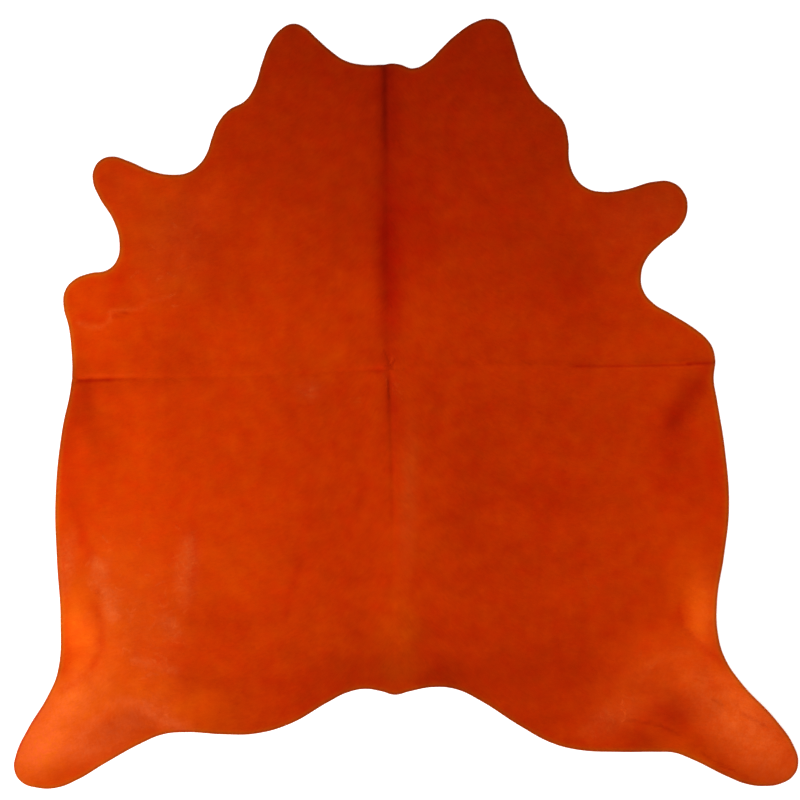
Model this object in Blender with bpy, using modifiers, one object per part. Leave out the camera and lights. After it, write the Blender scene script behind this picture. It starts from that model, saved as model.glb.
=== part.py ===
"""A whole dyed cowhide with its hair on, laid flat with the hair side up.

The hide lies on z = 0 with its neck towards +Y and its spine along Y. It is one sheet of even
thickness. Its underside is flat on the floor, and lifts by a few millimetres beside the fold along the
spine, at the fold across the middle, and at the soft swells that a tanned skin keeps.
"""

import math
from collections import namedtuple

import bmesh
import bpy
import numpy as np
from mathutils.geometry import delaunay_2d_cdt

MM = 0.001

# Driving sizes, in metres. The outline below spans 2.16 m across the hind legs and 2.12 m from the
# ear lobes to the hind feet.
LEATHER = 2.0 * MM
HAIR_COAT = 2.0 * MM
THICKNESS = LEATHER + HAIR_COAT

# How finely the sheet is divided: steps of the curve between two landmarks of the outline, and the
# spacing of the inner points, fine at a fold, wider by STEP_GROWTH at each step away from it, and coarse
# elsewhere. Along the rim the spacing grows with the distance from a fold, by RIM_STEP_GROWTH.
CURVE_STEPS = 3
FINE_STEP = 5.0 * MM
STEP_GROWTH = 1.3
COARSE_STEP = 52.0 * MM
RIM_STEP_GROWTH = 0.25
RIM_CLEARANCE = 14.0 * MM
SAME_POINT = 1e-7

# The cut edge, in millimetres from the middle, going round from the neck by the left side as seen from
# above. Each section has the few points that its bends need, and a smooth curve joins them.
OUTLINE = (
    # section, points (x, y)
    ("neck, left half", ((-66, 931), (-121, 931), (-168, 943), (-204, 967))),
    ("left ear lobe", ((-248, 1006), (-279, 1034), (-311, 1044), (-346, 1027), (-375, 989), (-396, 936))),
    ("left cheek", ((-418, 868), (-443, 832), (-487, 807), (-517, 771), (-534, 730), (-547, 690),
                    (-569, 657), (-600, 635))),
    ("left foreleg", ((-635, 629), (-690, 636), (-767, 668), (-806, 679), (-839, 670), (-858, 645),
                      (-861, 612), (-844, 568), (-804, 502))),
    ("left armpit", ((-788, 441), (-796, 393), (-822, 367), (-869, 358))),
    ("left shoulder", ((-913, 340), (-938, 309), (-942, 271), (-927, 208), (-920, 147))),
    ("left belly", ((-918, 70), (-945, -73), (-964, -265), (-960, -430), (-950, -595), (-958, -738))),
    ("left hind leg", ((-984, -802), (-1040, -895), (-1072, -964), (-1077, -1008), (-1057, -1041),
                       (-1012, -1057), (-962, -1057), (-902, -1034))),
    ("left buttock", ((-830, -991), (-723, -932), (-668, -910), (-608, -904), (-498, -910), (-415, -908))),
    ("tail head", ((-319, -881), (-212, -820), (-162, -795), (-113, -785), (-69, -791), (-30, -801),
                   (8, -792), (74, -780), (138, -786))),
    ("right buttock", ((204, -817), (314, -887), (402, -934), (478, -953), (588, -958), (692, -958))),
    ("right hind leg", ((736, -960), (781, -976), (886, -1027), (935, -1046), (984, -1052), (1031, -1045),
                        (1066, -1022), (1078, -986), (1066, -942))),
    ("right belly", ((1015, -868), (921, -767), (877, -700), (856, -628), (854, -546), (874, -419),
                     (888, -285), (877, -128), (855, 10))),
    ("right shoulder", ((846, 65), (849, 120), (844, 150), (829, 175), (799, 202), (726, 248), (682, 274))),
    ("right armpit", ((653, 309), (646, 348), (660, 395), (701, 440))),
    ("right foreleg", ((754, 485), (774, 538), (762, 583), (729, 609), (682, 610), (602, 588), (542, 582),
                       (500, 591))),
    ("right cheek", ((469, 617), (450, 661), (446, 725), (433, 774), (404, 807), (366, 839))),
    ("right ear lobe", ((323, 909), (296, 991), (282, 1027), (260, 1050), (228, 1058), (195, 1051),
                        (135, 1012), (96, 975))),
    ("neck, right half", ((63, 942), (19, 921), (-16, 931), (-41, 934))),
)

# A fold line, one row for each place along it, in millimetres. The line passes through (x, y). rise is
# how far the sheet stands up there, width is how sharp the fold is, reach is how far from the line the
# sheet is down on the floor again, and depth is the share of the rise that is pressed down in the line.
Fold = namedtuple("Fold", "x y rise width reach depth")

# The hide was stored folded in half along the spine, hair side in, so this fold is a valley.
SPINE_VALLEY = (
    Fold(x=-58, y=940, rise=6.5, width=13, reach=130, depth=1.0),
    Fold(x=-56, y=730, rise=7.0, width=12, reach=140, depth=1.0),
    Fold(x=-49, y=700, rise=6.5, width=15, reach=150, depth=1.0),
    Fold(x=-48, y=310, rise=6.5, width=17, reach=150, depth=1.0),
    Fold(x=-46, y=150, rise=4.5, width=15, reach=130, depth=1.0),
    Fold(x=-44, y=95, rise=4.5, width=9, reach=110, depth=1.0),
    Fold(x=-42, y=10, rise=5.0, width=9, reach=100, depth=1.0),
    Fold(x=-38, y=-160, rise=4.0, width=8, reach=100, depth=1.0),
    Fold(x=-35, y=-310, rise=2.0, width=9, reach=100, depth=0.9),
    Fold(x=-33, y=-540, rise=0.8, width=14, reach=100, depth=0.7),
    Fold(x=-30, y=-800, rise=0.8, width=16, reach=80, depth=0.6),
)

# It was then folded in half again across the middle. The left half of that fold is a valley.
CROSS_VALLEY = (
    Fold(x=-920, y=67, rise=6.5, width=8, reach=70, depth=1.0),
    Fold(x=-845, y=69, rise=5.5, width=8, reach=65, depth=1.0),
    Fold(x=-745, y=70, rise=3.5, width=9, reach=60, depth=0.9),
    Fold(x=-440, y=75, rise=2.0, width=10, reach=60, depth=0.8),
    Fold(x=-210, y=84, rise=2.0, width=9, reach=60, depth=0.8),
    Fold(x=-120, y=92, rise=3.0, width=8, reach=60, depth=0.9),
    Fold(x=-47, y=95, rise=3.0, width=8, reach=60, depth=0.9),
    Fold(x=10, y=95, rise=0.0, width=8, reach=60, depth=0.0),
)

# The right half, on the other side of the folded spine, is a ridge.
CROSS_RIDGE = (
    Fold(x=-47, y=95, rise=0.0, width=14, reach=60, depth=0.0),
    Fold(x=60, y=98, rise=2.0, width=13, reach=60, depth=0.0),
    Fold(x=340, y=103, rise=2.5, width=13, reach=65, depth=0.0),
    Fold(x=640, y=106, rise=4.5, width=12, reach=75, depth=0.0),
    Fold(x=760, y=112, rise=6.5, width=12, reach=85, depth=0.0),
    Fold(x=850, y=115, rise=8.5, width=12, reach=90, depth=0.0),
)

# The whole line across the middle, from the left rim to the right one.
CROSS_LINE = CROSS_VALLEY[:-1] + CROSS_RIDGE[1:]

# Soft swells, in millimetres and degrees: a centre, the heading of the long way counted from +X
# towards +Y, half its length, half its width, and how far the middle lifts off the floor.
Swell = namedtuple("Swell", "place x y heading along across rise")
SWELLS = (
    Swell("left flank", x=-852, y=-620, heading=90, along=175, across=105, rise=8),
    Swell("left hind leg", x=-883, y=-857, heading=31, along=230, across=110, rise=10),
    Swell("right thigh", x=610, y=-848, heading=90, along=150, across=130, rise=6),
    Swell("right hind leg", x=1001, y=-848, heading=-51, along=220, across=120, rise=8),
    Swell("right flank rim", x=868, y=-588, heading=88, along=115, across=100, rise=8),
    Swell("right flank by the fold", x=726, y=-12, heading=62, along=150, across=80, rise=7),
    Swell("left flank by the fold", x=-902, y=-142, heading=95, along=150, across=110, rise=6),
    Swell("left shoulder lobe", x=-820, y=235, heading=75, along=150, across=110, rise=6),
    Swell("right belly", x=795, y=-375, heading=88, along=320, across=110, rise=6),
    Swell("right foreleg", x=630, y=499, heading=27, along=170, across=90, rise=6),
    Swell("left foreleg", x=-745, y=560, heading=135, along=150, across=90, rise=6),
    Swell("left ear lobe", x=-314, y=931, heading=100, along=140, across=90, rise=5),
    Swell("right ear lobe", x=226, y=945, heading=80, along=140, across=90, rise=5),
    Swell("left ribs", x=-525, y=-183, heading=70, along=330, across=150, rise=4),
    Swell("right ribs", x=506, y=-320, heading=110, along=330, across=150, rise=4),
    Swell("left shoulder blade", x=-457, y=422, heading=60, along=220, across=130, rise=4),
    Swell("right shoulder blade", x=382, y=395, heading=120, along=220, across=130, rise=4),
    Swell("left rump", x=-374, y=-692, heading=20, along=200, across=110, rise=4),
    Swell("right rump", x=258, y=-650, heading=160, along=200, across=110, rise=4),
)

HIDE_COLOUR = (0.533, 0.039, 0.001, 1.0)
HIDE_ROUGHNESS = 0.62
HIDE_SHEEN = 0.35


def clear_scene():
    for obj in list(bpy.data.objects):
        bpy.data.objects.remove(obj, do_unlink=True)


def column(rows, name):
    """One named column of a fold's table, in metres. depth is a share and has no unit."""
    scale = 1.0 if name == "depth" else MM
    return np.array([getattr(row, name) for row in rows]) * scale


def along_fold(rows, place, station, name):
    """A fold's named column at each place, where station is the column that runs along the fold."""
    order = np.argsort(column(rows, station))
    return np.interp(place, column(rows, station)[order], column(rows, name)[order])


def fade(share):
    """1 on the line and 0 from share 1 on, smooth at both."""
    return np.clip(1.0 - share**2, 0.0, 1.0) ** 2


def fold_shape(rows, x, y, station):
    """(lift beside the fold, share of it that is left in the fold) at each point."""
    place, other = (y, x) if station == "y" else (x, y)
    line = along_fold(rows, place, station, "x" if station == "y" else "y")
    away = np.abs(other - line)
    lift = along_fold(rows, place, station, "rise") * fade(away / along_fold(rows, place, station, "reach"))
    pressed = 1.0 / (1.0 + (away / along_fold(rows, place, station, "width")) ** 2)
    return lift, 1.0 - along_fold(rows, place, station, "depth") * pressed


def ridge_height(rows, x, y):
    """The height of a fold that stands up, over the points under its crest."""
    away = np.abs(y - along_fold(rows, x, "x", "y"))
    crest = 1.0 / (1.0 + (away / along_fold(rows, x, "x", "width")) ** 2)
    return along_fold(rows, x, "x", "rise") * crest * fade(away / along_fold(rows, x, "x", "reach"))


def swell_height(swell, x, y):
    turn = math.radians(swell.heading)
    from_x, from_y = x - swell.x * MM, y - swell.y * MM
    along = (from_x * math.cos(turn) + from_y * math.sin(turn)) / (swell.along * MM)
    across = (from_y * math.cos(turn) - from_x * math.sin(turn)) / (swell.across * MM)
    return swell.rise * MM * fade(np.hypot(along, across))


def underside_height(x, y):
    """How far the underside is off the floor at each point: 0 where the hide lies flat."""
    spine_lift, spine_left = fold_shape(SPINE_VALLEY, x, y, "y")
    cross_lift, cross_left = fold_shape(CROSS_VALLEY, x, y, "x")
    lift = spine_lift + cross_lift + sum(swell_height(swell, x, y) for swell in SWELLS)
    return (lift * cross_left + ridge_height(CROSS_RIDGE, x, y)) * spine_left


def outline_points():
    """Points along the cut edge, from a closed curve through the landmarks."""
    landmarks = [point for _, points in OUTLINE for point in points]
    curve = bpy.data.curves.new("cut_edge", "CURVE")
    curve.dimensions = "2D"
    curve.fill_mode = "NONE"
    curve.resolution_u = CURVE_STEPS
    spline = curve.splines.new("BEZIER")
    spline.bezier_points.add(len(landmarks) - 1)
    spline.use_cyclic_u = True
    for knot, (x, y) in zip(spline.bezier_points, landmarks):
        knot.co = (x * MM, y * MM, 0.0)
        knot.handle_left_type = "AUTO"
        knot.handle_right_type = "AUTO"
    guide = bpy.data.objects.new("cut_edge", curve)
    bpy.context.scene.collection.objects.link(guide)
    graph = bpy.context.evaluated_depsgraph_get()
    mesh = guide.evaluated_get(graph).to_mesh()
    points = np.array([vertex.co[:2] for vertex in mesh.vertices])
    guide.evaluated_get(graph).to_mesh_clear()
    bpy.data.objects.remove(guide, do_unlink=True)
    return points


def finer_at_folds(loop):
    """The same loop, with points added on its straight edges where a fold runs out over it."""
    points = []
    for start, end in zip(loop, np.roll(loop, -1, axis=0)):
        x, y = (start + end) / 2
        to_spine = abs(x - along_fold(SPINE_VALLEY, y, "y", "x"))
        to_cross = abs(y - along_fold(CROSS_LINE, x, "x", "y"))
        step = FINE_STEP + RIM_STEP_GROWTH * min(to_spine, to_cross)
        pieces = max(1, round(np.linalg.norm(end - start) / step))
        points += [start + (end - start) * piece / pieces for piece in range(pieces)]
    return np.array(points)


def graded_offsets(reach):
    """Distances on both sides of a fold: close together at it, then further apart up to the coarse step."""
    offsets, step = [0.0], FINE_STEP
    while offsets[-1] < reach:
        offsets.append(offsets[-1] + step)
        step = min(step * STEP_GROWTH, COARSE_STEP)
    return np.array([-offset for offset in reversed(offsets[1:])] + offsets)


def inside(points, loop):
    """Which points lie inside a closed loop, by counting the edges that a ray to the right crosses."""
    x, y = points[:, :1], points[:, 1:]
    ends = np.roll(loop, -1, axis=0)
    crosses = (loop[:, 1] > y) != (ends[:, 1] > y)
    with np.errstate(divide="ignore", invalid="ignore"):
        at = loop[:, 0] + (y - loop[:, 1]) * (ends[:, 0] - loop[:, 0]) / (ends[:, 1] - loop[:, 1])
    return (crosses & (x < at)).sum(axis=1) % 2 == 1


def inner_points(loop):
    """Points in rows and columns that follow the two folds, clear of the cut edge."""
    reach = np.abs(loop).max() + COARSE_STEP
    across, lengthwise = np.meshgrid(graded_offsets(reach), graded_offsets(reach))
    middle_x = along_fold(SPINE_VALLEY, lengthwise, "y", "x")
    middle_y = along_fold(CROSS_LINE, across, "x", "y")
    points = np.column_stack([(across + middle_x).ravel(), (lengthwise + middle_y).ravel()])
    points = points[inside(points, loop)]
    gaps = np.linalg.norm(points[:, None] - loop[None], axis=2).min(axis=1)
    return points[gaps > RIM_CLEARANCE]


def hide_material():
    material = bpy.data.materials.new("dyed_cowhide_hair")
    material.use_nodes = True
    shader = material.node_tree.nodes["Principled BSDF"]
    shader.inputs["Base Color"].default_value = HIDE_COLOUR
    shader.inputs["Roughness"].default_value = HIDE_ROUGHNESS
    shader.inputs["Metallic"].default_value = 0.0
    shader.inputs["Sheen Weight"].default_value = HIDE_SHEEN
    return material


def make_hide(collection):
    """The underside as an open surface, thickened upwards into one closed sheet."""
    loop = finer_at_folds(outline_points())
    points = np.vstack([loop, inner_points(loop)])
    rim = list(range(len(loop)))
    flat, _, faces, _, _, _ = delaunay_2d_cdt([tuple(point) for point in points], [], [rim], 1, SAME_POINT)
    flat = np.array([tuple(point) for point in flat])
    heights = underside_height(flat[:, 0], flat[:, 1])
    mesh = bpy.data.meshes.new("hide")
    mesh.from_pydata(np.column_stack([flat, heights]).tolist(), [], faces)
    faces_up = bmesh.new()
    faces_up.from_mesh(mesh)
    bmesh.ops.recalc_face_normals(faces_up, faces=faces_up.faces)
    if sum(face.normal.z for face in faces_up.faces) < 0:
        bmesh.ops.reverse_faces(faces_up, faces=faces_up.faces)
    faces_up.to_mesh(mesh)
    faces_up.free()
    mesh.shade_smooth()
    mesh.materials.append(hide_material())
    hide = bpy.data.objects.new("hide", mesh)
    collection.objects.link(hide)
    sheet = hide.modifiers.new("thickness", "SOLIDIFY")
    sheet.thickness = THICKNESS
    sheet.offset = 1.0
    sheet.use_even_offset = True
    return hide


def main():
    clear_scene()
    collection = bpy.data.collections.new("cowhide_rug")
    bpy.context.scene.collection.children.link(collection)
    make_hide(collection)


main()
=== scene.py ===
"""The look of a whole dyed cowhide: a supple leather sheet under short orange hair that lies flat.

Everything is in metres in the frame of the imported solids: the hide lies on z = 0 with its neck towards
+Y. The leather, the hair coat and the separate hairs all follow one height function, which repeats the
solid's folds and swells.
"""

import math
from collections import namedtuple

import bpy
import numpy as np
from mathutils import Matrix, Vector, noise
from mathutils.geometry import delaunay_2d_cdt


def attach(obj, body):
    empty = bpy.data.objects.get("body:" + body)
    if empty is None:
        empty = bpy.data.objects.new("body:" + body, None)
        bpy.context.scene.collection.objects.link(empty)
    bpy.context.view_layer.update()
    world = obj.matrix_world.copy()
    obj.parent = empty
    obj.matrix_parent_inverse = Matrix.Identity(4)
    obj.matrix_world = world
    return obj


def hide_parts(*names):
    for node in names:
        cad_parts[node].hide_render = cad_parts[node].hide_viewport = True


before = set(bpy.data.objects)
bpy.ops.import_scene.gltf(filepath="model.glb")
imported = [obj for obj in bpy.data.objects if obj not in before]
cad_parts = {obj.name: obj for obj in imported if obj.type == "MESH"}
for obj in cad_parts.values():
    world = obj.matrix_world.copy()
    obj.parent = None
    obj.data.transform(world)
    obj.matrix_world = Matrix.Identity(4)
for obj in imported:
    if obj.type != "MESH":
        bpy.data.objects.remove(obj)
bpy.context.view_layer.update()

MM = 0.001
SEED = 11

# The leather under the hair.
LEATHER = 2.0 * MM

# The coat under the separate hairs. It stops short of the cut edge, and thins out over its last few
# millimetres.
COAT = 1.7 * MM
HAIR_SETBACK = 3.0 * MM
RIM_ROUNDING = 7.0 * MM
RIM_LEFT = 0.3
RIM_RINGS = (2.0 * MM, 5.0 * MM, 9.0 * MM)
RIM_ZONE = 25.0 * MM
CUT_RINGS = (2.0 * MM, 5.0 * MM)

# Division of the surfaces: steps between two landmarks, and for the top and the underside the step at a
# fold, its growth and the widest step. Inner points keep clear of the last ring or of the edge. Whether
# points lie inside is found in chunks, to save memory.
CURVE_STEPS = 12
TOP_STEPS = (2.2 * MM, 1.14, 8.5 * MM)
UNDER_STEPS = (5.0 * MM, 1.25, 22.0 * MM)
RING_CLEARANCE = 3.0 * MM
EDGE_CLEARANCE = 8.0 * MM
SAME_POINT = 1e-7
INSIDE_CHUNKS = 60


def table(kind, *rows):
    return tuple(kind(*row) for row in rows)


# The cut edge, in millimetres from the middle, as in the solid.
OUTLINE = (
    # section, points (x, y)
    ("neck, left half", ((-66, 931), (-121, 931), (-168, 943), (-204, 967))),
    ("left ear lobe", ((-248, 1006), (-279, 1034), (-311, 1044), (-346, 1027), (-375, 989), (-396, 936))),
    ("left cheek", ((-418, 868), (-443, 832), (-487, 807), (-517, 771), (-534, 730), (-547, 690),
                    (-569, 657), (-600, 635))),
    ("left foreleg", ((-635, 629), (-690, 636), (-767, 668), (-806, 679), (-839, 670), (-858, 645),
                      (-861, 612), (-844, 568), (-804, 502))),
    ("left armpit", ((-788, 441), (-796, 393), (-822, 367), (-869, 358))),
    ("left shoulder", ((-913, 340), (-938, 309), (-942, 271), (-927, 208), (-920, 147))),
    ("left belly", ((-918, 70), (-945, -73), (-964, -265), (-960, -430), (-950, -595), (-958, -738))),
    ("left hind leg", ((-984, -802), (-1040, -895), (-1072, -964), (-1077, -1008), (-1057, -1041),
                       (-1012, -1057), (-962, -1057), (-902, -1034))),
    ("left buttock", ((-830, -991), (-723, -932), (-668, -910), (-608, -904), (-498, -910), (-415, -908))),
    ("tail head", ((-319, -881), (-212, -820), (-162, -795), (-113, -785), (-69, -791), (-30, -801),
                   (8, -792), (74, -780), (138, -786))),
    ("right buttock", ((204, -817), (314, -887), (402, -934), (478, -953), (588, -958), (692, -958))),
    ("right hind leg", ((736, -960), (781, -976), (886, -1027), (935, -1046), (984, -1052), (1031, -1045),
                        (1066, -1022), (1078, -986), (1066, -942))),
    ("right belly", ((1015, -868), (921, -767), (877, -700), (856, -628), (854, -546), (874, -419),
                     (888, -285), (877, -128), (855, 10))),
    ("right shoulder", ((846, 65), (849, 120), (844, 150), (829, 175), (799, 202), (726, 248), (682, 274))),
    ("right armpit", ((653, 309), (646, 348), (660, 395), (701, 440))),
    ("right foreleg", ((754, 485), (774, 538), (762, 583), (729, 609), (682, 610), (602, 588), (542, 582),
                       (500, 591))),
    ("right cheek", ((469, 617), (450, 661), (446, 725), (433, 774), (404, 807), (366, 839))),
    ("right ear lobe", ((323, 909), (296, 991), (282, 1027), (260, 1050), (228, 1058), (195, 1051),
                        (135, 1012), (96, 975))),
    ("neck, right half", ((63, 942), (19, 921), (-16, 931), (-41, 934))),
)

# A fold line, one row for each place along it, in millimetres: the line passes through (x, y), the sheet
# stands up by rise there, width is the fold's sharpness, reach is where the sheet is down again, and
# depth is the share of the rise that is pressed down in the line.
Fold = namedtuple("Fold", "x y rise width reach depth")
SPINE_VALLEY = table(
    Fold,
    (-58, 940, 6.5, 13, 130, 1.0), (-56, 730, 7.0, 12, 140, 1.0), (-49, 700, 6.5, 15, 150, 1.0),
    (-48, 310, 6.5, 17, 150, 1.0), (-46, 150, 4.5, 15, 130, 1.0), (-44, 95, 4.5, 9, 110, 1.0),
    (-42, 10, 5.0, 9, 100, 1.0), (-38, -160, 4.0, 8, 100, 1.0), (-35, -310, 2.0, 9, 100, 0.9),
    (-33, -540, 0.8, 14, 100, 0.7), (-30, -800, 0.8, 16, 80, 0.6),
)
CROSS_VALLEY = table(
    Fold,
    (-920, 67, 6.5, 8, 70, 1.0), (-845, 69, 5.5, 8, 65, 1.0), (-745, 70, 3.5, 9, 60, 0.9),
    (-440, 75, 2.0, 10, 60, 0.8), (-210, 84, 2.0, 9, 60, 0.8), (-120, 92, 3.0, 8, 60, 0.9),
    (-47, 95, 3.0, 8, 60, 0.9), (10, 95, 0.0, 8, 60, 0.0),
)
CROSS_RIDGE = table(
    Fold,
    (-47, 95, 0.0, 14, 60, 0.0), (60, 98, 2.0, 13, 60, 0.0), (340, 103, 2.5, 13, 65, 0.0),
    (640, 106, 4.5, 12, 75, 0.0), (760, 112, 6.5, 12, 85, 0.0), (850, 115, 8.5, 12, 90, 0.0),
)
CROSS_LINE = CROSS_VALLEY[:-1] + CROSS_RIDGE[1:]

# Soft swells, in millimetres and degrees: centre, heading of the long way, half length, half width, rise.
Swell = namedtuple("Swell", "place x y heading along across rise")
SWELLS = table(
    Swell,
    ("left flank", -852, -620, 90, 175, 105, 8),
    ("left hind leg", -883, -857, 31, 230, 110, 10),
    ("right thigh", 610, -848, 90, 150, 130, 6),
    ("right hind leg", 1001, -848, -51, 220, 120, 8),
    ("right flank rim", 868, -588, 88, 115, 100, 8),
    ("right flank by the fold", 726, -12, 62, 150, 80, 7),
    ("left flank by the fold", -902, -142, 95, 150, 110, 6),
    ("left shoulder lobe", -820, 235, 75, 150, 110, 6),
    ("right belly", 795, -375, 88, 320, 110, 6),
    ("right foreleg", 630, 499, 27, 170, 90, 6),
    ("left foreleg", -745, 560, 135, 150, 90, 6),
    ("left ear lobe", -314, 931, 100, 140, 90, 5),
    ("right ear lobe", 226, 945, 80, 140, 90, 5),
    ("left ribs", -525, -183, 70, 330, 150, 4),
    ("right ribs", 506, -320, 110, 330, 150, 4),
    ("left shoulder blade", -457, 422, 60, 220, 130, 4),
    ("right shoulder blade", 382, 395, 120, 220, 130, 4),
    ("left rump", -374, -692, 20, 200, 110, 4),
    ("right rump", 258, -650, 160, 200, 110, 4),
)


def column(rows, name):
    """One named column of a table. Depths and tones have no unit, and lengths turn into metres."""
    scale = 1.0 if name in ("depth", "tone") else MM
    return np.array([getattr(row, name) for row in rows]) * scale


def along_line(rows, place, station, name):
    """A line's named column at each place, where station is the column that runs along the line."""
    order = np.argsort(column(rows, station))
    return np.interp(place, column(rows, station)[order], column(rows, name)[order])


def fade(share):
    """1 on the line and 0 from share 1 on, smooth at both."""
    return np.clip(1.0 - share**2, 0.0, 1.0) ** 2


def fold_form(rows, x, y, station):
    """(lift beside a fold, 1 in the fold and less beside it, share of the lift left in it) at each point."""
    place, other, line = (y, x, "x") if station == "y" else (x, y, "y")
    away = np.abs(other - along_line(rows, place, station, line))
    lift = along_line(rows, place, station, "rise") * fade(away / along_line(rows, place, station, "reach"))
    near = 1.0 / (1.0 + (away / along_line(rows, place, station, "width")) ** 2)
    return lift, near, 1.0 - along_line(rows, place, station, "depth") * near


def turned_share(row, x, y):
    """How far each point is from the middle of an oval row, as a share of its half length and width."""
    turn = math.radians(row.heading)
    from_x, from_y = x - row.x * MM, y - row.y * MM
    along = (from_x * math.cos(turn) + from_y * math.sin(turn)) / (row.along * MM)
    across = (from_y * math.cos(turn) - from_x * math.sin(turn)) / (row.across * MM)
    return np.hypot(along, across)


def underside_height(x, y):
    """How far the underside is off the floor at each point: 0 where the hide lies flat."""
    spine_lift, _, spine_left = fold_form(SPINE_VALLEY, x, y, "y")
    cross_lift, _, cross_left = fold_form(CROSS_VALLEY, x, y, "x")
    ridge_lift, crest, _ = fold_form(CROSS_RIDGE, x, y, "x")
    swells = sum(swell.rise * MM * fade(turned_share(swell, x, y)) for swell in SWELLS)
    lift = spine_lift + cross_lift + swells
    return (lift * cross_left + ridge_lift * crest) * spine_left


# How the hair lies. It leaves the spine towards the tail, and turns outwards on the flanks. These are
# the angles between the hair and the spine, and the distance from the spine over which it turns.
LIE_AT_SPINE = math.radians(38)
LIE_AT_FLANK = math.radians(76)
LIE_REACH = 0.5
LIE_TABLE = np.linspace(0.0, 1.3, 400)
SLOPE_STEP = 0.5 * MM

# Whorls: where the hair turns round a point, in millimetres. turn is how strongly, and its sign which way.
Whorl = namedtuple("Whorl", "place x y size turn")
WHORLS = table(
    Whorl,
    ("fold crossing", -30, 70, 45, 30),
    ("left flank", -640, -300, 90, 60),
    ("right flank", 600, -260, 90, -55),
    ("left hind leg", -760, -760, 110, -70),
    ("right thigh", 640, -800, 100, 70),
    ("left shoulder", -560, 250, 80, -45),
    ("right shoulder", 520, 330, 80, 45),
    ("neck", 90, 620, 70, -30),
)


def unit(vectors):
    return vectors / np.maximum(np.linalg.norm(vectors, axis=1), 1e-9)[:, None]


def left_of(directions):
    return np.column_stack([-directions[:, 1], directions[:, 0]])


def smooth_step(share):
    share = np.clip(share, 0.0, 1.0)
    return share * share * (3.0 - 2.0 * share)


def lie_angle(from_spine):
    return LIE_AT_SPINE + (LIE_AT_FLANK - LIE_AT_SPINE) * smooth_step(from_spine / LIE_REACH)


def running_sum(values):
    step = LIE_TABLE[1] - LIE_TABLE[0]
    return np.concatenate([[0.0], np.cumsum((values[1:] + values[:-1]) / 2) * step])


ACROSS_SUM = running_sum(1.0 / np.tan(lie_angle(LIE_TABLE)))
ALONG_SUM = running_sum(np.tan(lie_angle(LIE_TABLE)))


def hair_coordinates(x, y):
    """(across, along, side of the spine): across is the same all along a hair, and along grows to its tip."""
    off_spine = x - along_line(SPINE_VALLEY, y, "y", "x")
    across = y + np.interp(np.abs(off_spine), LIE_TABLE, ACROSS_SUM)
    along = -y + np.interp(np.abs(off_spine), LIE_TABLE, ALONG_SUM)
    for whorl in WHORLS:
        away = np.hypot(x - whorl.x * MM, y - whorl.y * MM) / (whorl.size * MM)
        across = across + whorl.turn * MM * np.exp(-away * away)
    return across, along, np.sign(off_spine)


def hair_direction(plan):
    """Unit vectors in plan along the hair, from root to tip."""
    x, y = plan.T
    step = SLOPE_STEP
    slope_x = (hair_coordinates(x + step, y)[0] - hair_coordinates(x - step, y)[0]) / (2 * step)
    slope_y = (hair_coordinates(x, y + step)[0] - hair_coordinates(x, y - step)[0]) / (2 * step)
    side = hair_coordinates(x, y)[2]
    side = np.where(side == 0, 1.0, side)
    return unit(np.column_stack([slope_y * side, -slope_x * side]))


# Soft noise: size in metres, its third coordinate, and strength.
Cloud = namedtuple("Cloud", "size seed strength")
WIDE_CLOUD = Cloud(0.13, 3.1, 0.03)
SMALL_CLOUD = Cloud(0.05, 7.7, 0.025)
PALE_CLOUD = Cloud(0.09, 21.3, 0.04)
COAT_LUMPS = Cloud(0.035, 1.5, 0.25 * MM)


def clouds(row, x, y):
    """Soft noise of a cloud row's size, up to about its strength to both sides of 0."""
    field = [noise.noise(Vector((a / row.size, b / row.size, row.seed))) for a, b in zip(x, y)]
    return row.strength * np.array(field)


# Tones of the dyed hair, from 0, the deep tone in a fold, to 1, the palest. They are set by comparing
# renders with the photograph. Places are in millimetres and headings in degrees.
# First the tone along the hide and across it, partly the dye's own and partly painted light: lighter on the
# left, towards the key light, and darker at the neck, away from it.
Level = namedtuple("Level", "at tone")
TONE_ALONG = table(
    Level,
    (950, 0.25), (780, 0.32), (560, 0.36), (450, 0.40), (320, 0.48), (230, 0.50), (0, 0.482), (-320, 0.508),
    (-430, 0.51), (-540, 0.50), (-650, 0.465), (-780, 0.39),
)
TONE_ACROSS = table(
    Level,
    (-950, 0.14), (-730, 0.12), (-620, 0.065), (-400, 0.04), (-290, -0.005), (-150, -0.02), (0, -0.01),
    (150, -0.05), (480, -0.05), (600, -0.015), (850, 0.01),
)
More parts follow.
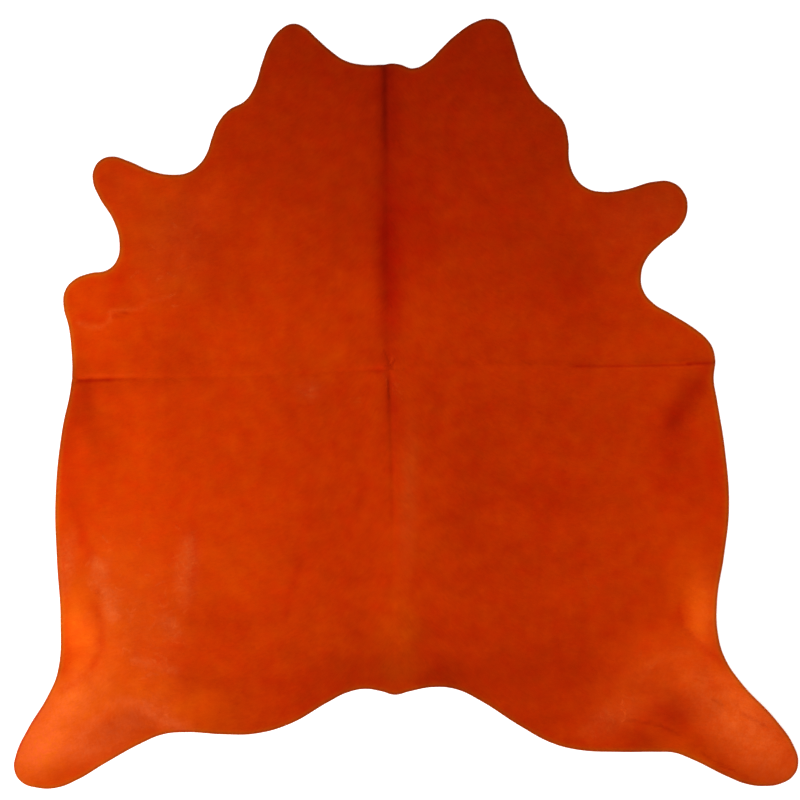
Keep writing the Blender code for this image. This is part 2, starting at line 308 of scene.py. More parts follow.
# Soft ovals like the swells, with how much they add at their middle.
Patch = namedtuple("Patch", "place x y heading along across amount")
TONE_PATCHES = table(
    Patch,
    # Painted shade below the cross fold on the left flank, where the sheet turns away from the light.
    ("left flank below the fold", -885, 0, 100, 150, 65, -0.15),
    ("left flank below the fold, core", -880, 30, 95, 60, 35, -0.06),
    ("right of the neck", 200, 690, 70, 450, 260, 0.05),
    ("left of the neck", -260, 880, 90, 170, 120, 0.05),
    ("left foreleg", -700, 600, 160, 150, 85, 0.08),
    ("left shoulder blade", -360, 490, 90, 190, 130, 0.045),
    ("left shoulder", -550, 432, 0, 95, 85, -0.07),
    ("left body", -660, 155, 0, 190, 130, -0.075),
    ("left belly rim", -938, -60, 92, 290, 50, -0.10),
    # Painted shade just under the cross valley.
    ("left, under the cross valley", -815, 42, 2, 110, 35, -0.07),
    ("left belly", -380, -430, 0, 240, 120, -0.03),
    ("right belly by the spine", 260, -420, 0, 300, 150, -0.04),
    # Painted highlight on the left flank swell's lit side, and painted light over its shaded side behind it.
    ("left flank highlight, inner", -865, -640, 95, 105, 45, 0.06),
    ("left flank, behind the highlight", -815, -665, 85, 150, 80, 0.13),
    ("left hind leg, root", -925, -780, 50, 150, 70, 0.125),
    ("right hind leg, upper rim", 905, -765, -48, 170, 60, 0.10),
    ("right flank above the highlight", 790, -480, 95, 160, 100, 0.10),
    ("right buttock, lower", 480, -920, -8, 190, 65, 0.11),
    ("left of the crossing", -236, 147, 0, 120, 90, 0.03),
    ("right ribs", 176, -210, 80, 250, 130, -0.05),
    ("left of the spine", -223, -320, 90, 130, 90, -0.05),
    ("left rump", -126, -609, 0, 90, 80, -0.05),
    ("right rump", 66, -623, 0, 75, 65, -0.06),
    ("right flank", 726, -73, 90, 140, 85, -0.04),
    ("right flank, outer", 850, -320, 92, 150, 45, 0.05),
    ("right armpit", 465, 590, 0, 130, 75, 0.09),
    ("left buttock", -600, -838, 0, 150, 85, 0.13),
    ("left hind leg, lower rim", -820, -930, 32, 170, 60, 0.08),
    ("tip of the left hind leg", -1000, -950, 45, 130, 95, 0.09),
    ("right foreleg", 650, 520, 27, 200, 130, 0.05),
    # Painted shade below the cross fold on the right flank.
    ("right flank below the fold", 760, 0, 62, 150, 60, -0.08),
    # Painted highlight where the right flank's rim is lifted towards the light.
    ("right rim", 815, -585, 90, 150, 75, 0.185),
    ("right thigh", 680, -720, 35, 260, 170, 0.17),
    ("right hind leg", 940, -890, -45, 310, 160, 0.32),
    ("right buttock", 510, -840, -18, 250, 110, 0.12),
    ("right hind leg, below", 745, -878, -15, 165, 85, 0.075),
    # Painted shade on the side of the left hind leg turned away from the light.
    ("left hind leg, below", -773, -892, 33, 165, 62, -0.09),
    ("left thigh", -720, -760, 60, 180, 150, 0.07),
    # Painted highlight on the lit side of the left flank swell.
    ("left rim", -908, -630, 92, 155, 68, 0.20),
    ("left hind leg", -960, -870, 45, 280, 150, 0.16),
    ("neck, right ear", 250, 990, 80, 120, 80, 0.04),
    ("beside the tail", -60, -720, 0, 260, 100, -0.06),
    ("above the left cross valley", -530, 305, 0, 300, 125, -0.055),
    # Painted shade on the side of the left cross valley turned away from the light.
    ("below the left cross valley", -680, 48, 0, 190, 60, -0.055),
    ("left body, outer", -820, -120, 92, 190, 85, -0.05),
    ("left belly rim, low", -900, -275, 90, 90, 55, -0.055),
    ("left loin", -520, -590, 0, 200, 95, -0.055),
    ("above the right cross ridge", 420, 315, 0, 220, 130, -0.06),
    ("right of the spine, above the knot", 165, 325, 0, 120, 70, -0.045),
    ("right of the spine, below the knot", 68, -60, 90, 300, 55, -0.05),
    ("right ribs, low", 395, -255, 0, 220, 90, -0.045),
    ("right flank, low", 745, -200, 90, 200, 90, -0.03),
    ("right of the tail", 88, -755, 0, 115, 75, -0.085),
    ("right shoulder, low", 590, 215, 0, 190, 75, -0.035),
    ("left lobe, low", -890, 140, 90, 90, 60, -0.035),
    ("left of the neck, top", -340, 880, 0, 130, 50, -0.015),
    ("right hind leg, middle", 965, -935, -45, 90, 60, -0.035),
    ("left rump, low", -175, -520, 90, 130, 80, -0.03),
    ("left shoulder, top", -515, 565, 60, 150, 95, 0.07),
    ("left of the mane", -245, 600, 90, 280, 80, 0.035),
    ("right of the mane", 190, 500, 0, 130, 70, 0.03),
    ("right ear, root", 120, 950, 60, 90, 60, 0.035),
    ("left ear, right side", -275, 1010, 90, 60, 40, 0.05),
    ("right flank, behind the highlight", 790, -735, -30, 170, 90, 0.07),
    ("right hind leg, lower root", 745, -945, -12, 130, 70, 0.10),
    ("left thigh, upper", -800, -800, 15, 220, 90, 0.075),
    ("left flank, above the highlight", -890, -500, 90, 75, 55, 0.04),
    ("right hind leg, lower rim", 822, -985, -40, 75, 45, 0.07),
    ("tail head", -10, -775, 0, 55, 45, 0.03),
    # Painted shade in the hollow of the right hind leg, on the side turned away from the light.
    ("right hind leg, hollow", 745, -855, -60, 95, 64, -0.05),
    ("right hind leg, hollow below", 645, -925, -10, 100, 36, -0.045),
    ("right thigh, below", 710, -790, 20, 110, 60, 0.045),
    ("right of the tail, rim", 300, -820, -35, 110, 70, 0.065),
    ("left of the spine, low", -105, -395, 90, 80, 60, -0.03),
    ("right shoulder blade", 450, 520, 0, 190, 80, 0.055),
)
# Where the hair is brushed up and looks paler, with more of the undyed shafts showing.
PALE_PATCHES = table(
    Patch,
    ("lower left flank", -760, -640, 100, 420, 230, 0.25),
    ("left ribs", -598, -450, 86, 135, 52, 0.42),
    ("left flank, upper", -840, -465, 62, 65, 36, 0.6),
    ("left flank, lower", -808, -556, 100, 68, 44, 0.62),
    ("left thigh", -648, -612, 130, 66, 40, 0.62),
    ("left belly rim", -940, -450, 80, 150, 45, 0.7),
    ("left hind leg", -968, -875, 45, 255, 120, 0.95),
    ("left hind leg, lower rim", -835, -925, 32, 185, 75, 0.8),
    ("left hind leg, tip", -902, -956, 20, 60, 38, 0.6),
    ("left hind leg, below", -660, -872, -20, 110, 48, 0.45),
    ("right hind leg", 940, -900, -45, 300, 140, 0.80),
    ("right thigh", 700, -760, 20, 300, 190, 0.18),
    ("right buttock", 560, -870, 30, 120, 65, 0.36),
    ("right rim", 835, -560, 88, 180, 90, 0.22),
    ("tip of the left hind leg", -1010, -975, 45, 120, 100, 0.45),
    ("left thigh, low", -725, -850, 20, 120, 75, 0.35),
    ("left of the crossing", -267, 37, 0, 58, 45, 0.45),
    ("right of the spine", 8, -260, 88, 330, 38, 0.30),
    ("left shoulder", -620, 450, 60, 240, 150, 0.25),
    ("right foreleg", 650, 520, 27, 220, 140, 0.22),
    ("left foreleg", -770, 590, 135, 200, 110, 0.08),
)
# Where the colour is more yellow than usual, or redder under 0: mostly the dye, and in places the hue of
# painted highlights and painted shade.
WARM_PATCHES = table(
    Patch,
    ("left flank", -780, -580, 95, 330, 210, 0.55),
    # Yellower in the painted highlight on the left flank.
    ("left flank highlight", -905, -600, 92, 160, 60, 0.15),
    ("left hind leg", -960, -880, 45, 290, 160, 0.95),
    ("left hind leg, lower rim", -830, -940, 32, 190, 80, 0.5),
    ("left thigh and buttock", -590, -850, 0, 280, 170, 0.72),
    # Yellower in the painted highlight on the right flank's rim.
    ("right rim", 815, -590, 88, 130, 65, 0.4),
    ("right thigh", 700, -740, 30, 250, 120, 0.25),
    ("right hind leg", 930, -890, -45, 290, 140, 0.42),
    ("beside the spine", 5, 500, 90, 310, 140, -0.48),
    ("right belly rim", 840, -190, 92, 230, 70, -0.4),
    ("left belly rim", -930, -110, 92, 240, 70, -0.35),
    ("rump by the spine", -30, -650, 90, 180, 80, 0.45),
    ("tail head", -30, -740, 0, 110, 60, 0.55),
    ("right of the spine, low", 12, -610, 90, 190, 60, 0.40),
    ("tip of the left hind leg", -1010, -970, 45, 130, 110, 0.9),
    ("left thigh, upper", -800, -810, 15, 230, 100, 0.35),
    ("left flank, above the highlight", -900, -520, 92, 110, 60, 0.4),
    ("left shoulder", -690, 500, 60, 200, 110, 0.45),
    ("left loin", -480, -440, 0, 240, 120, 0.30),
    ("belly by the spine", -200, -650, 0, 330, 130, 0.28),
    ("right belly", 90, -400, 0, 120, 90, 0.25),
    ("right ribs", 390, -260, 90, 190, 130, -0.20),
    ("right of the mane", 210, 580, 90, 280, 170, -0.18),
    ("right hind leg, lower root", 760, -950, -12, 150, 80, 0.45),
    ("left loin, outer", -590, -570, 90, 160, 95, 0.30),
    ("right flank, above the highlight", 775, -485, 90, 130, 90, 0.4),
    ("right foreleg, rim", 715, 575, 0, 100, 70, 0.4),
    ("above the right cross ridge", 430, 300, 0, 170, 100, -0.25),
    ("left of the knot", -240, 120, 0, 130, 90, 0.25),
    ("left lobe, inner", -785, 335, 75, 100, 50, -0.45),
    ("left shoulder, low", -620, 320, 0, 130, 60, 0.35),
    ("right of the spine", 15, -270, 90, 280, 35, 0.3),
    ("right flank", 730, -150, 85, 240, 110, -0.35),
    ("neck", 0, 850, 0, 420, 260, -0.2),
    # Redder in the painted shade of the right hind leg's hollow.
    ("right hind leg, hollow", 725, -865, -30, 120, 60, -0.35),
)
# How much redder the dark band along the spine is, for each step of its tone: the band is partly darker
# hair and partly painted shade.
BAND_WARMTH = 3.8
# The limits of the warmth.
REDDEST, YELLOWEST = -0.9, 1.6

# Small creases and brushed lines: half width and rise in millimetres, the change in tone, how far the hair
# is brushed up there, the change in warmth, and the points that the line passes through.
# In the creases, wrinkles, cross fold and right flank trough the darker, redder tone is painted shade; the
# lighter tone on the cross fold's lit sides and by the spine is painted light.
Stroke = namedtuple("Stroke", "place width rise tone pale warmth points")
STROKES = table(
    Stroke,
    # Painted shade in the crease beside the left flank highlight.
    ("left flank crease", 12, -1.2, -0.06, 0.0, -0.3,
     ((-845, -560), (-834, -628), (-836, -680), (-862, -727), (-900, -762), (-940, -788))),
    ("left hind leg ridge", 15, 0.8, 0.03, 0.45, 0.0,
     ((-910, -939), (-841, -857), (-787, -815), (-731, -826), (-663, -876), (-594, -892))),
    ("left thigh brushed line", 12, 0.0, 0.01, 0.5, 0.0, ((-740, -705), (-680, -722), (-630, -735))),
    ("left ribs brushed line", 20, 0.0, 0.02, 0.35, 0.0, ((-600, -375), (-612, -470), (-610, -540))),
    ("left ribs edge", 16, 0.0, -0.04, 0.0, -0.3, ((-585, -330), (-580, -440), (-590, -540))),
    ("left flank brushed line", 14, 0.0, 0.01, 0.6, 0.0,
     ((-855, -430), (-840, -480), (-815, -540), (-800, -585))),
    ("left flank dark line", 17, 0.0, -0.035, 0.0, -0.3, ((-908, -305), (-885, -365), (-868, -425))),
    # Painted shade in the right flank crease.
    ("right flank crease", 11, -1.0, -0.035, 0.0, -0.3,
     ((748, -560), (762, -615), (795, -652), (838, -690), (880, -722))),
    ("right thigh arc", 10, 0.5, 0.02, 0.15, 0.0, ((643, -766), (671, -719), (712, -694), (781, -686))),
    ("right buttock brushed line", 16, 0.0, 0.02, 0.1, 0.0, ((487, -906), (547, -857), (630, -815))),
    # Painted shade in the creases and wrinkles of the right hind leg.
    ("right hind leg crease", 4, -0.5, -0.09, 0.0, 0.0, ((608, -868), (698, -884), (754, -912))),
    ("right hind leg wrinkle", 4, -0.5, -0.10, 0.0, 0.0, ((919, -848), (951, -865), (987, -884))),
    ("right hind leg short wrinkle", 4, -0.4, -0.09, 0.0, 0.0, ((844, -815), (869, -826))),
    ("right hind leg lower wrinkle", 4, -0.5, -0.10, 0.0, 0.0, ((809, -958), (864, -994), (905, -1013))),
    ("right hind leg rim", 16, 0.0, -0.05, 0.0, 0.0, ((932, -1041), (1001, -1041), (1050, -1008))),
    ("left of the spine, low", 15, 0.0, -0.03, 0.0, -0.2, ((-291, -430), (-333, -595))),
    ("left of the spine, middle", 15, 0.0, -0.03, 0.0, -0.2, ((-110, -210), (-154, -356))),
    # Painted shade in the cross valley, and painted light on its lit side and where it meets the spine.
    ("cross valley by the rim", 7, 0.0, -0.06, 0.0, -0.4, ((-893, 61), (-862, 62), (-812, 65))),
    ("left end of the cross valley", 8, 0.0, -0.09, 0.0, 0.0, ((-908, 96), (-910, 62))),
    ("cross valley", 4, 0.0, -0.05, 0.0, -0.2, ((-908, 62), (-806, 65), (-745, 67))),
    ("cross valley's light side", 3, 0.0, 0.01, 0.1, 0.0, ((-885, 77), (-748, 79))),
    ("cross valley by the spine", 10, 0.0, 0.025, 0.0, -0.2, ((-150, 89), (-62, 96))),
    # Painted shade on the cross ridge's side away from the light, and painted light on its lit side.
    ("cross ridge's dark side", 4, 0.0, -0.09, 0.0, -0.3, ((459, 102), (646, 103), (780, 106))),
    ("cross ridge's dark side by the rim", 5, 0.0, -0.15, 0.0, -0.4, ((775, 109), (848, 111))),
    ("cross ridge's light side", 3, 0.0, 0.015, 0.1, 0.0, ((619, 98), (809, 103))),
    # Painted shade in the trough on the right flank.
    ("right flank trough", 24, 0.0, -0.07, 0.0, -0.3, ((826, 85), (792, 40), (765, -2), (733, -50))),
    ("left lobe brushed line", 7, 0.3, 0.03, 0.35, 0.0,
     ((-898, 222), (-870, 210), (-835, 210), (-812, 228), (-810, 245))),
    ("left lobe upper line", 6, 0.3, 0.03, 0.3, 0.0,
     ((-812, 253), (-768, 258), (-730, 261), (-705, 282), (-650, 293))),
    # Painted shade in the wrinkle of the left lobe.
    ("left lobe wrinkle", 5, -0.6, -0.12, 0.0, -0.2, ((-803, 241), (-785, 244), (-765, 249))),
    ("left lobe shade", 13, 0.0, -0.025, 0.0, -0.2, ((-895, 240), (-860, 228), (-830, 233))),
)

# Dark and light lines along the spine: where they pass, half width in millimetres, and the tone they add.
# The band is partly the spine's darker hair and partly painted shade in the spine fold; the core and the
# line right of it are painted shade and painted light along the fold.
Line = namedtuple("Line", "x y width tone")
SPINE_BAND = table(
    Line,
    (-53, 940, 27, -0.12), (-50, 780, 27, -0.12), (-53, 700, 26, -0.09), (-53, 560, 27, -0.10),
    (-53, 395, 30, -0.185), (-47, 285, 30, -0.18), (-46, 200, 30, -0.09), (-48, 160, 27, -0.065),
    (-44, 106, 22, -0.06), (-47, 80, 15, -0.03), (-41, 23, 21, -0.11), (-36, -45, 16, -0.06),
    (-34, -120, 11, -0.04), (-33, -220, 9, -0.03), (-36, -320, 9, 0.0),
)
SPINE_CORE = table(
    Line,
    (-58, 940, 8, -0.12), (-57, 780, 8, -0.16), (-55, 730, 8, -0.10), (-53, 690, 9, -0.02),
    (-57, 615, 9, 0.04), (-56, 505, 8, -0.01), (-55, 395, 9, 0.02), (-52, 200, 9, 0.03), (-50, 100, 7, 0.0),
    (-47, 50, 6, -0.02), (-44, 20, 6, -0.035), (-39, -45, 6, 0.0), (-36, -155, 6, -0.02),
    (-35, -240, 6, -0.02), (-40, -340, 6, 0.0),
)
SPINE_RIGHT = table(
    Line,
    (-8, 780, 24, 0.0), (-8, 600, 26, -0.03), (-6, 290, 26, -0.03), (-8, 180, 24, -0.025),
    (-10, 60, 16, -0.01), (-15, -50, 18, 0.01), (-18, -320, 20, 0.01), (-30, -560, 28, 0.0),
)


def line_tone(rows, x, y):
    """The tone that a line along the spine adds at each point."""
    away = x - along_line(rows, y, "y", "x")
    return along_line(rows, y, "y", "tone") * np.exp(-((away / along_line(rows, y, "y", "width")) ** 2))


def stroke_share(stroke, x, y):
    """1 on a stroke's line and less beside and beyond it."""
    points = np.array(stroke.points) * MM
    nearest = np.full(len(x), np.inf)
    for start, end in zip(points[:-1], points[1:]):
        run = end - start
        share = np.clip(((x - start[0]) * run[0] + (y - start[1]) * run[1]) / (run @ run), 0.0, 1.0)
        nearest = np.minimum(nearest, np.hypot(x - start[0] - share * run[0], y - start[1] - share * run[1]))
    return np.exp(-((nearest / (stroke.width * MM)) ** 2))


def strokes_at(column_name, x, y):
    """What all the strokes add at each point, for one of their columns."""
    rows = [stroke for stroke in STROKES if getattr(stroke, column_name)]
    return sum(getattr(stroke, column_name) * stroke_share(stroke, x, y) for stroke in rows)


def patches_at(rows, x, y):
    return sum(patch.amount * fade(turned_share(patch, x, y)) for patch in rows)


def tone(x, y):
    """The tone at each point, before the fine streaks: the dye's own, with painted light and shade for the
    light's fall-off, the folds and the swells.
    """
    level = along_line(TONE_ALONG, y, "at", "tone") + along_line(TONE_ACROSS, x, "at", "tone")
    level = level + patches_at(TONE_PATCHES, x, y)
    for rows in (SPINE_BAND, SPINE_CORE, SPINE_RIGHT):
        level = level + line_tone(rows, x, y)
    level = level + strokes_at("tone", x, y)
    return level + clouds(WIDE_CLOUD, x, y) + clouds(SMALL_CLOUD, x, y)


def paleness(x, y):
    """How far the hair is brushed up at each point, up to 1."""
    pale = patches_at(PALE_PATCHES, x, y) + strokes_at("pale", x, y)
    return np.clip(pale + clouds(PALE_CLOUD, x, y), 0.0, 1.0)


def warmth(x, y):
    """How yellow each point is: the dye's own hue, redder in painted shade and yellower in painted
    highlights.
    """
    warm = patches_at(WARM_PATCHES, x, y) + BAND_WARMTH * line_tone(SPINE_BAND, x, y)
    return np.clip(warm + strokes_at("warmth", x, y), REDDEST, YELLOWEST)


# The last millimetres before the cut edge: yellower and paler, and darker at the edge itself, which is
# painted shade along the cut edge.
RIM_YELLOWING = 6.5 * MM
RIM_SHADE = 4.5 * MM
# The darker tone at the cut edge is painted shade.
RIM_TONE, RIM_PALE, RIM_WARM = -0.13, 0.4, 2.6
# The leather's edge is painted lighter, standing in for light on its shaded sides, and made yellower.
CUT_PAINTED_LIGHT, CUT_WARM = 0.18, 1.0


def dye_and_painted_light_at(plan, edge):
    """(tone, paleness, warmth) at each point, with the yellower, paler rim and the painted shade at the cut
    edge.
    """
    gap = rim_gap(plan, edge)
    yellowing = np.exp(-((gap / RIM_YELLOWING) ** 2))
    # The darkening at the cut edge is painted shade.
    dark = np.exp(-((gap / RIM_SHADE) ** 2))
    x, y = plan.T
    return tone(x, y) + RIM_TONE * dark, paleness(x, y) + RIM_PALE * yellowing, warmth(x, y) + RIM_WARM * yellowing


def outline_points(steps):
    """Points along the cut edge, from a closed curve through the landmarks."""
    landmarks = [point for _, points in OUTLINE for point in points]
    curve = bpy.data.curves.new("cut_edge", "CURVE")
    curve.dimensions = "2D"
    curve.fill_mode = "NONE"
    curve.resolution_u = steps
    spline = curve.splines.new("BEZIER")
    spline.bezier_points.add(len(landmarks) - 1)
    spline.use_cyclic_u = True
    for knot, (x, y) in zip(spline.bezier_points, landmarks):
        knot.co = (x * MM, y * MM, 0.0)
        knot.handle_left_type = "AUTO"
        knot.handle_right_type = "AUTO"
    guide = new_object("cut_edge", curve)
    graph = bpy.context.evaluated_depsgraph_get()
    points = plan_of(guide.evaluated_get(graph).to_mesh())
    guide.evaluated_get(graph).to_mesh_clear()
    bpy.data.objects.remove(guide, do_unlink=True)
    return points


def inset(loop, distance):
    """The loop moved inwards by this distance. It runs round the hide the way the outline does."""
    return loop + left_of(unit(np.roll(loop, -1, axis=0) - np.roll(loop, 1, axis=0))) * distance


def graded_offsets(reach, fine, growth, coarse):
    """Distances on both sides of a fold: close together at it, then further apart up to the coarse step."""
    offsets, step = [0.0], fine
    while offsets[-1] < reach:
        offsets.append(offsets[-1] + step)
        step = min(step * growth, coarse)
    return np.array([-offset for offset in reversed(offsets[1:])] + offsets)


def inside(points, loop):
    """Which points lie inside a closed loop, by counting the edges that a ray to the right crosses."""
    order = np.argsort(points[:, 1])
    found = np.zeros(len(points), bool)
    ends = np.roll(loop, -1, axis=0)
    for chunk in np.array_split(order, INSIDE_CHUNKS):
        x, y = points[chunk, :1], points[chunk, 1:]
        crosses = (loop[:, 1] > y) != (ends[:, 1] > y)
        with np.errstate(divide="ignore", invalid="ignore"):
            at = loop[:, 0] + (y - loop[:, 1]) * (ends[:, 0] - loop[:, 0]) / (ends[:, 1] - loop[:, 1])
        found[chunk] = (crosses & (x < at)).sum(axis=1) % 2 == 1
    return found


def rim_gap(points, loop):
    """Each point's distance to the nearest point of a closely divided loop, where it is under RIM_ZONE."""
    low = loop.min(axis=0) - 2 * RIM_ZONE
    size = ((np.ptp(loop, axis=0) + 4 * RIM_ZONE) / RIM_ZONE).astype(int) + 1
    cells = np.floor((points - low) / RIM_ZONE).astype(int).clip(0, size - 1)
    passed = np.floor((loop - low) / RIM_ZONE).astype(int)
    gaps = np.full(len(points), RIM_ZONE)
    order = np.lexsort((cells[:, 1], cells[:, 0]))
    breaks = np.flatnonzero(np.any(np.diff(cells[order], axis=0) != 0, axis=1)) + 1
    for group in np.split(order, breaks):
        close = loop[(np.abs(passed - cells[group[0]]) <= 1).all(axis=1)]
        if len(close):
            away = np.sqrt(((points[group, None] - close[None]) ** 2).sum(axis=2).min(axis=1))
            gaps[group] = np.minimum(away, RIM_ZONE)
    return gaps


def inner_points(loop, steps, clearance):
    """Points in rows and columns that follow the two folds, clear of the loop."""
    fine, growth, coarse = steps
    offsets = graded_offsets(np.abs(loop).max() + coarse, fine, growth, coarse)
    across, lengthwise = np.meshgrid(offsets, offsets)
    middle_x = along_line(SPINE_VALLEY, lengthwise, "y", "x")
    middle_y = along_line(CROSS_LINE, across, "x", "y")
    points = np.column_stack([(across + middle_x).ravel(), (lengthwise + middle_y).ravel()])
    points = points[inside(points, loop)]
    return points[rim_gap(points, loop) > clearance]


def triangles(loop, points):
    """(flat points, faces) of the area inside the loop, faces turned up. The loop's points come first."""
    rim = list(range(len(loop)))
    every = [tuple(point) for point in np.vstack([loop, points])]
    flat, _, faces, _, _, _ = delaunay_2d_cdt(every, [], [rim], 1, SAME_POINT)
    flat = np.array([tuple(point) for point in flat])
    faces = np.array(faces)
    a, b, c = (flat[faces[:, n]] for n in range(3))
    turned = (b - a)[:, 0] * (c - a)[:, 1] - (b - a)[:, 1] * (c - a)[:, 0]
    faces[turned < 0] = faces[turned < 0][:, ::-1]
    return flat, faces


def closed_sheet(name, loop, top, bottom):
    """A closed sheet between two height functions. top and bottom are (inner points, height function)."""
    upper, upper_faces = triangles(loop, top[0])
    lower, lower_faces = triangles(loop, bottom[0])
    count = len(upper)
    points = np.vstack([np.column_stack([upper, top[1](upper)]), np.column_stack([lower, bottom[1](lower)])])
    rim = np.arange(len(loop))
    ahead = np.roll(rim, -1)
    walls = np.vstack([
        np.column_stack([rim, rim + count, ahead + count]),
        np.column_stack([rim, ahead + count, ahead]),
    ])
    return new_piece(name, points, np.vstack([upper_faces, lower_faces[:, ::-1] + count, walls])), count


def new_object(name, data):
    made = bpy.data.objects.new(name, data)
    bpy.context.scene.collection.objects.link(made)
    return made


def new_piece(name, points, faces):
    mesh = bpy.data.meshes.new(name)
    mesh.from_pydata(points.tolist(), [], faces.tolist())
    mesh.shade_smooth()
    return new_object(name, mesh)


def plan_of(mesh):
    """Where a mesh's points lie, seen from above."""
    points = np.empty(len(mesh.vertices) * 3)
    mesh.vertices.foreach_get("co", points)
    return points.reshape(-1, 3)[:, :2]


# Materials


# Surfaces, as inputs of the shader.
WHITE = (1.0, 1.0, 1.0, 1.0)
HAIR_TINT = (1.0, 0.22, 0.02, 1.0)
HAIR_SURFACE = {
    "Roughness": 0.62, "Specular IOR Level": 0.12, "Specular Tint": HAIR_TINT,
    "Sheen Weight": 0.10, "Sheen Roughness": 0.45, "Sheen Tint": HAIR_TINT,
}
SUEDE_SURFACE = {"Roughness": 0.9, "Specular IOR Level": 0.05}
FLOOR_SURFACE = {
    "Base Color": (0.97, 0.97, 0.97, 1.0), "Roughness": 0.8, "Specular IOR Level": 0.1,
    "Emission Color": WHITE, "Emission Strength": 0.25,
}
BUMP_HEIGHT = 0.3 * MM
COAT_BUMP, SUEDE_BUMP = 0.5, 0.6

# Suede: its mottles and its nap in waves for each metre, the nap's share, and the colours.
SUEDE_MOTTLE, SUEDE_NAP, NAP_SHARE = 14.0, 420.0, 0.4
SUEDE_COLOURS = ((0.30, (0.42, 0.21, 0.10)), (0.70, (0.62, 0.38, 0.21)))

# Streaks along the hair: width, length, the noise's third coordinate, and how much they count.
Streaks = namedtuple("Streaks", "width length seed share")
FINE_STREAKS = Streaks(3.0 * MM, 16.0 * MM, 1.0, 0.07)
WIDE_STREAKS = Streaks(9.0 * MM, 32.0 * MM, 5.0, 0.08)
TUFT_STREAKS = Streaks(11.0 * MM, 26.0 * MM, 12.0, 0.55)
STREAK_ROUGH = 0.55

# Mottles: where the noise is read, waves for each metre, detail, roughness, and how much they count.
Mottles = namedtuple("Mottles", "shift scale detail rough share")
SOFT = Mottles((0.0, 0.0, 0.0), 24.0, 4.0, 0.6, 0.17)
CLUMPS = Mottles((0.0, 5.0, 2.0), 30.0, 2.0, 0.5, 0.45)
HUES = Mottles((3.0, 1.0, 0.0), 20.0, 4.0, 0.6, 1.4)

# Brushed hair is ragged: the noise level at which a tuft begins, how steep its edge is, how much paler
# the tufts are, and the least between them.
RAGGED_FROM, RAGGED_STEEPNESS = 0.42, 6.0
RAGGED_SHARE, RAGGED_LEAST = 0.75, 0.5
LEAST_WARM = -0.95


class Nodes:
    """A material's node tree, with short calls for the nodes that are used here."""

    def __init__(self, name, surface):
        self.material = bpy.data.materials.new(name)
        self.material.use_nodes = True
        self.tree = self.material.node_tree
        self.shader = self.tree.nodes["Principled BSDF"]
        self.set(self.shader, **surface)

    def node(self, kind, **settings):
        made = self.tree.nodes.new(kind)
        for key, value in settings.items():
            setattr(made, key, value)
        return made

    def set(self, node, *values, **named):
        """Inputs by their order or their name, with _ for a space: a value, or a socket to link."""
        for key, value in [*enumerate(values), *named.items()]:
            entry = node.inputs[key if isinstance(key, int) else key.replace("_", " ")]
            if isinstance(value, bpy.types.NodeSocket):
                self.tree.links.new(value, entry)
            else:
                entry.default_value = value
        return node

    def math(self, operation, *values, clamp=False):
        return self.set(self.node("ShaderNodeMath", operation=operation, use_clamp=clamp), *values).outputs[0]

    def attribute(self, name, output="Fac"):
        return self.node("ShaderNodeAttribute", attribute_name=name).outputs[output]

    def place(self):
        return self.node("ShaderNodeTexCoord").outputs["Object"]

    def vector(self, x, y, z):
        return self.set(self.node("ShaderNodeCombineXYZ"), x, y, z).outputs[0]

    def moved(self, place, shift):
        return self.set(self.node("ShaderNodeVectorMath", operation="ADD"), place, shift).outputs[0]

    def noise(self, place, scale=1.0, detail=2.0, rough=0.5):
        made = self.node("ShaderNodeTexNoise", noise_dimensions="3D")
        return self.set(made, Vector=place, Scale=scale, Detail=detail, Roughness=rough).outputs["Fac"]

    def bump(self, height, strength):
        made = self.set(self.node("ShaderNodeBump"), Height=height, Strength=strength, Distance=BUMP_HEIGHT)
        self.set(self.shader, Normal=made.outputs["Normal"])

    def ramp(self, value, stops):
        made = self.set(self.node("ShaderNodeValToRGB"), Fac=value)
        bar = made.color_ramp.elements
        while len(bar) < len(stops):
            bar.new(1.0)
        for element, (place, colour) in zip(bar, stops):
            element.position = place
            element.color = (*colour, 1.0)
        return made.outputs["Color"]


# What a flat white surface gets from the studio's lights.
LIGHT_LEVEL = 1.33

# The colours that each tone has in that light, as levels from 0 to 255: plain, brushed up, and warmer.
Dye = namedtuple("Dye", "tone plain brushed warm")
DYES = table(
    Dye,
    (0.00, (110, 9, 0), (112, 16, 4), (110, 14, 0)),
    (0.13, (130, 19, 0), (133, 27, 7), (130, 27, 0)),
    (0.27, (150, 28, 0), (154, 41, 11), (150, 39, 0)),
    (0.40, (170, 36, 0), (174, 54, 15), (170, 49, 0)),
    (0.53, (190, 47, 0), (195, 68, 21), (190, 62, 0)),
    (0.67, (210, 57, 0), (216, 82, 27), (210, 75, 0)),
    (0.80, (230, 74, 3), (235, 97, 35), (230, 93, 4)),
    (0.90, (245, 92, 7), (248, 112, 43), (245, 110, 8)),
    (1.00, (258, 106, 12), (260, 125, 52), (258, 124, 14)),
)


def albedo(levels):
    """The linear colour that shows as these sRGB levels under the studio's lights."""
    shares = [level / 255.0 for level in levels]
    linear = [share / 12.92 if share <= 0.04045 else ((share + 0.055) / 1.055) ** 2.4 for share in shares]
    return tuple(value / LIGHT_LEVEL for value in linear)


def mixed(n, start, end, share):
    """From one colour towards another, and past either where the share is under 0 or over 1."""
    mix = n.node("ShaderNodeMix", data_type="RGBA", clamp_factor=False)
    for name, value in (("Factor", share), (6, start), (7, end)):
        n.tree.links.new(value, mix.inputs[name])
    return mix.outputs[2]


def dyed(n, level, brushed, warm):
    """The dye's colour at a tone, a share of brushed-up hair and a warmth."""
    plain, pale, yellow = (
        n.ramp(level, [(dye.tone, albedo(getattr(dye, look))) for dye in DYES])
        for look in ("plain", "brushed", "warm")
    )
    return mixed(n, mixed(n, plain, yellow, warm), pale, brushed)


